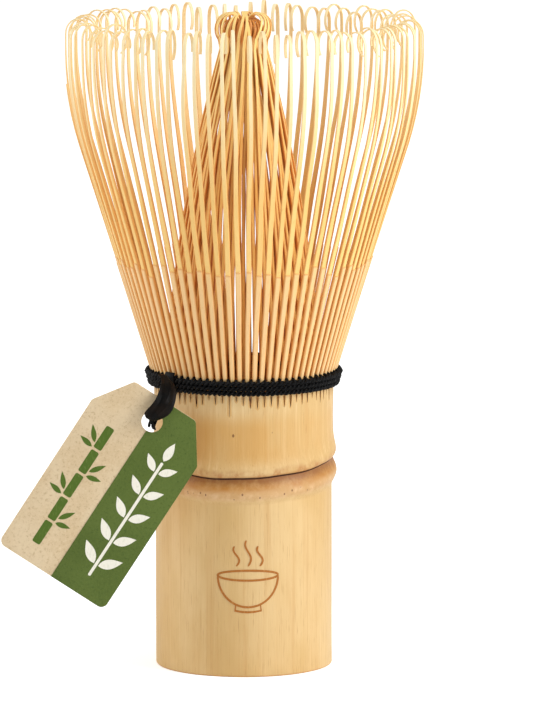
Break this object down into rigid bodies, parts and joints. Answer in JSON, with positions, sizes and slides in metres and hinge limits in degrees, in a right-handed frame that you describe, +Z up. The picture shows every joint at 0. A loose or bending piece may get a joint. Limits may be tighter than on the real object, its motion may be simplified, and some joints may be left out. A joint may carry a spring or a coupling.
{
  "type": "bamboo tea whisk",
  "caption": "Bamboo tea whisk: hollow culm handle, ring of springy hooked outer tines around a cone of inner tines, thread binding, and a card hang tag on a ribbon.",
  "frame": {"origin": "on the whisk's axis, at the plane of the base it stands on", "axes": "+Z up along the axis towards the tines' mouth, -Y towards the side with the tag's face"},
  "size_m": [0.0705, 0.0596, 0.111],
  "materials": {
    "bamboo_culm": "satin, fine vertical grain",
    "bamboo_outer_tine": "shaved, satin",
    "bamboo_inner_tine": "shaved, satin",
    "binding_thread": "twisted cotton",
    "black_ribbon": "satin ribbon",
    "kraft_card": "uncoated kraft card",
    "green_paper": "printed matt paper"
  },
  "bodies": {
    "whisk": {"handle_grip": "bamboo_culm", "culm_node": "bamboo_culm", "handle_neck": "bamboo_culm", "inner_tines_01": "bamboo_inner_tine", "inner_tines_02": "bamboo_inner_tine", "inner_tines_03": "bamboo_inner_tine", "inner_tines_04": "bamboo_inner_tine", "inner_tines_05": "bamboo_inner_tine", "inner_tines_06": "bamboo_inner_tine", "inner_tines_07": "bamboo_inner_tine", "inner_tines_08": "bamboo_inner_tine", "inner_tines_09": "bamboo_inner_tine", "inner_tines_10": "bamboo_inner_tine", "inner_tines_11": "bamboo_inner_tine", "inner_tines_12": "bamboo_inner_tine", "inner_tines_13": "bamboo_inner_tine", "inner_tines_14": "bamboo_inner_tine", "inner_tines_15": "bamboo_inner_tine", "inner_tines_16": "bamboo_inner_tine", "binding_lower": "binding_thread", "binding_middle": "binding_thread", "binding_upper": "binding_thread", "binding_inner": "binding_thread", "ribbon_wrap": "black_ribbon"},
    "outer_tines_01": {"outer_tines_01": "bamboo_outer_tine"},
    "outer_tines_02": {"outer_tines_02": "bamboo_outer_tine"},
    "outer_tines_03": {"outer_tines_03": "bamboo_outer_tine"},
    "outer_tines_04": {"outer_tines_04": "bamboo_outer_tine"},
    "outer_tines_05": {"outer_tines_05": "bamboo_outer_tine"},
    "outer_tines_06": {"outer_tines_06": "bamboo_outer_tine"},
    "outer_tines_07": {"outer_tines_07": "bamboo_outer_tine"},
    "outer_tines_08": {"outer_tines_08": "bamboo_outer_tine"},
    "outer_tines_09": {"outer_tines_09": "bamboo_outer_tine"},
    "outer_tines_10": {"outer_tines_10": "bamboo_outer_tine"},
    "outer_tines_11": {"outer_tines_11": "bamboo_outer_tine"},
    "outer_tines_12": {"outer_tines_12": "bamboo_outer_tine"},
    "outer_tines_13": {"outer_tines_13": "bamboo_outer_tine"},
    "outer_tines_14": {"outer_tines_14": "bamboo_outer_tine"},
    "outer_tines_15": {"outer_tines_15": "bamboo_outer_tine"},
    "outer_tines_16": {"outer_tines_16": "bamboo_outer_tine"},
    "ribbon": {"tag_ribbon": "black_ribbon"},
    "tag": {"tag_card": "kraft_card", "tag_green_face": "green_paper"}
  },
  "joints": [
    {"name": "flex_01", "type": "hinge", "parent": "whisk", "child": "outer_tines_01", "pos_m": [0.01517, 0.00302, 0.05061], "axis": [-0.1951, 0.9808, 0], "range_deg": [-3, 6], "stiffness_Nm_per_rad": 0.01},
    {"name": "flex_02", "type": "hinge", "parent": "whisk", "child": "outer_tines_02", "pos_m": [0.01286, 0.00859, 0.05061], "axis": [-0.5556, 0.8315, 0], "range_deg": [-3, 6], "stiffness_Nm_per_rad": 0.01},
    {"name": "flex_03", "type": "hinge", "parent": "whisk", "child": "outer_tines_03", "pos_m": [0.00859, 0.01286, 0.05061], "axis": [-0.8315, 0.5556, 0], "range_deg": [-3, 6], "stiffness_Nm_per_rad": 0.01},
    {"name": "flex_04", "type": "hinge", "parent": "whisk", "child": "outer_tines_04", "pos_m": [0.00302, 0.01517, 0.05061], "axis": [-0.9808, 0.1951, 0], "range_deg": [-3, 6], "stiffness_Nm_per_rad": 0.01},
    {"name": "flex_05", "type": "hinge", "parent": "whisk", "child": "outer_tines_05", "pos_m": [-0.00302, 0.01517, 0.05061], "axis": [-0.9808, -0.1951, 0], "range_deg": [-3, 6], "stiffness_Nm_per_rad": 0.01},
    {"name": "flex_06", "type": "hinge", "parent": "whisk", "child": "outer_tines_06", "pos_m": [-0.00859, 0.01286, 0.05061], "axis": [-0.8315, -0.5556, 0], "range_deg": [-3, 6], "stiffness_Nm_per_rad": 0.01},
    {"name": "flex_07", "type": "hinge", "parent": "whisk", "child": "outer_tines_07", "pos_m": [-0.01286, 0.00859, 0.05061], "axis": [-0.5556, -0.8315, 0], "range_deg": [-3, 6], "stiffness_Nm_per_rad": 0.01},
    {"name": "flex_08", "type": "hinge", "parent": "whisk", "child": "outer_tines_08", "pos_m": [-0.01517, 0.00302, 0.05061], "axis": [-0.1951, -0.9808, 0], "range_deg": [-3, 6], "stiffness_Nm_per_rad": 0.01},
    {"name": "flex_09", "type": "hinge", "parent": "whisk", "child": "outer_tines_09", "pos_m": [-0.01517, -0.00302, 0.05061], "axis": [0.1951, -0.9808, 0], "range_deg": [-3, 6], "stiffness_Nm_per_rad": 0.01},
    {"name": "flex_10", "type": "hinge", "parent": "whisk", "child": "outer_tines_10", "pos_m": [-0.01286, -0.00859, 0.05061], "axis": [0.5556, -0.8315, 0], "range_deg": [-3, 6], "stiffness_Nm_per_rad": 0.01},
    {"name": "flex_11", "type": "hinge", "parent": "whisk", "child": "outer_tines_11", "pos_m": [-0.00859, -0.01286, 0.05061], "axis": [0.8315, -0.5556, 0], "range_deg": [-3, 6], "stiffness_Nm_per_rad": 0.01},
    {"name": "flex_12", "type": "hinge", "parent": "whisk", "child": "outer_tines_12", "pos_m": [-0.00302, -0.01517, 0.05061], "axis": [0.9808, -0.1951, 0], "range_deg": [-3, 6], "stiffness_Nm_per_rad": 0.01},
    {"name": "flex_13", "type": "hinge", "parent": "whisk", "child": "outer_tines_13", "pos_m": [0.00302, -0.01517, 0.05061], "axis": [0.9808, 0.1951, 0], "range_deg": [-3, 6], "stiffness_Nm_per_rad": 0.01},
    {"name": "flex_14", "type": "hinge", "parent": "whisk", "child": "outer_tines_14", "pos_m": [0.00859, -0.01286, 0.05061], "axis": [0.8315, 0.5556, 0], "range_deg": [-3, 6], "stiffness_Nm_per_rad": 0.01},
    {"name": "flex_15", "type": "hinge", "parent": "whisk", "child": "outer_tines_15", "pos_m": [0.01286, -0.00859, 0.05061], "axis": [0.5556, 0.8315, 0], "range_deg": [-3, 6], "stiffness_Nm_per_rad": 0.01},
    {"name": "flex_16", "type": "hinge", "parent": "whisk", "child": "outer_tines_16", "pos_m": [0.01517, -0.00302, 0.05061], "axis": [0.1951, 0.9808, 0], "range_deg": [-3, 6], "stiffness_Nm_per_rad": 0.01},
    {"name": "ribbon_lift", "type": "hinge", "parent": "whisk", "child": "ribbon", "pos_m": [-0.01179, -0.01238, 0.0496], "axis": [-0.7242, 0.6896, 0], "range_deg": [0, 40]},
    {"name": "tag_swing", "type": "hinge", "parent": "ribbon", "child": "tag", "pos_m": [-0.0153, -0.0166, 0.0439], "axis": [0, 1, 0], "range_deg": [-33, 30]}
  ]
}
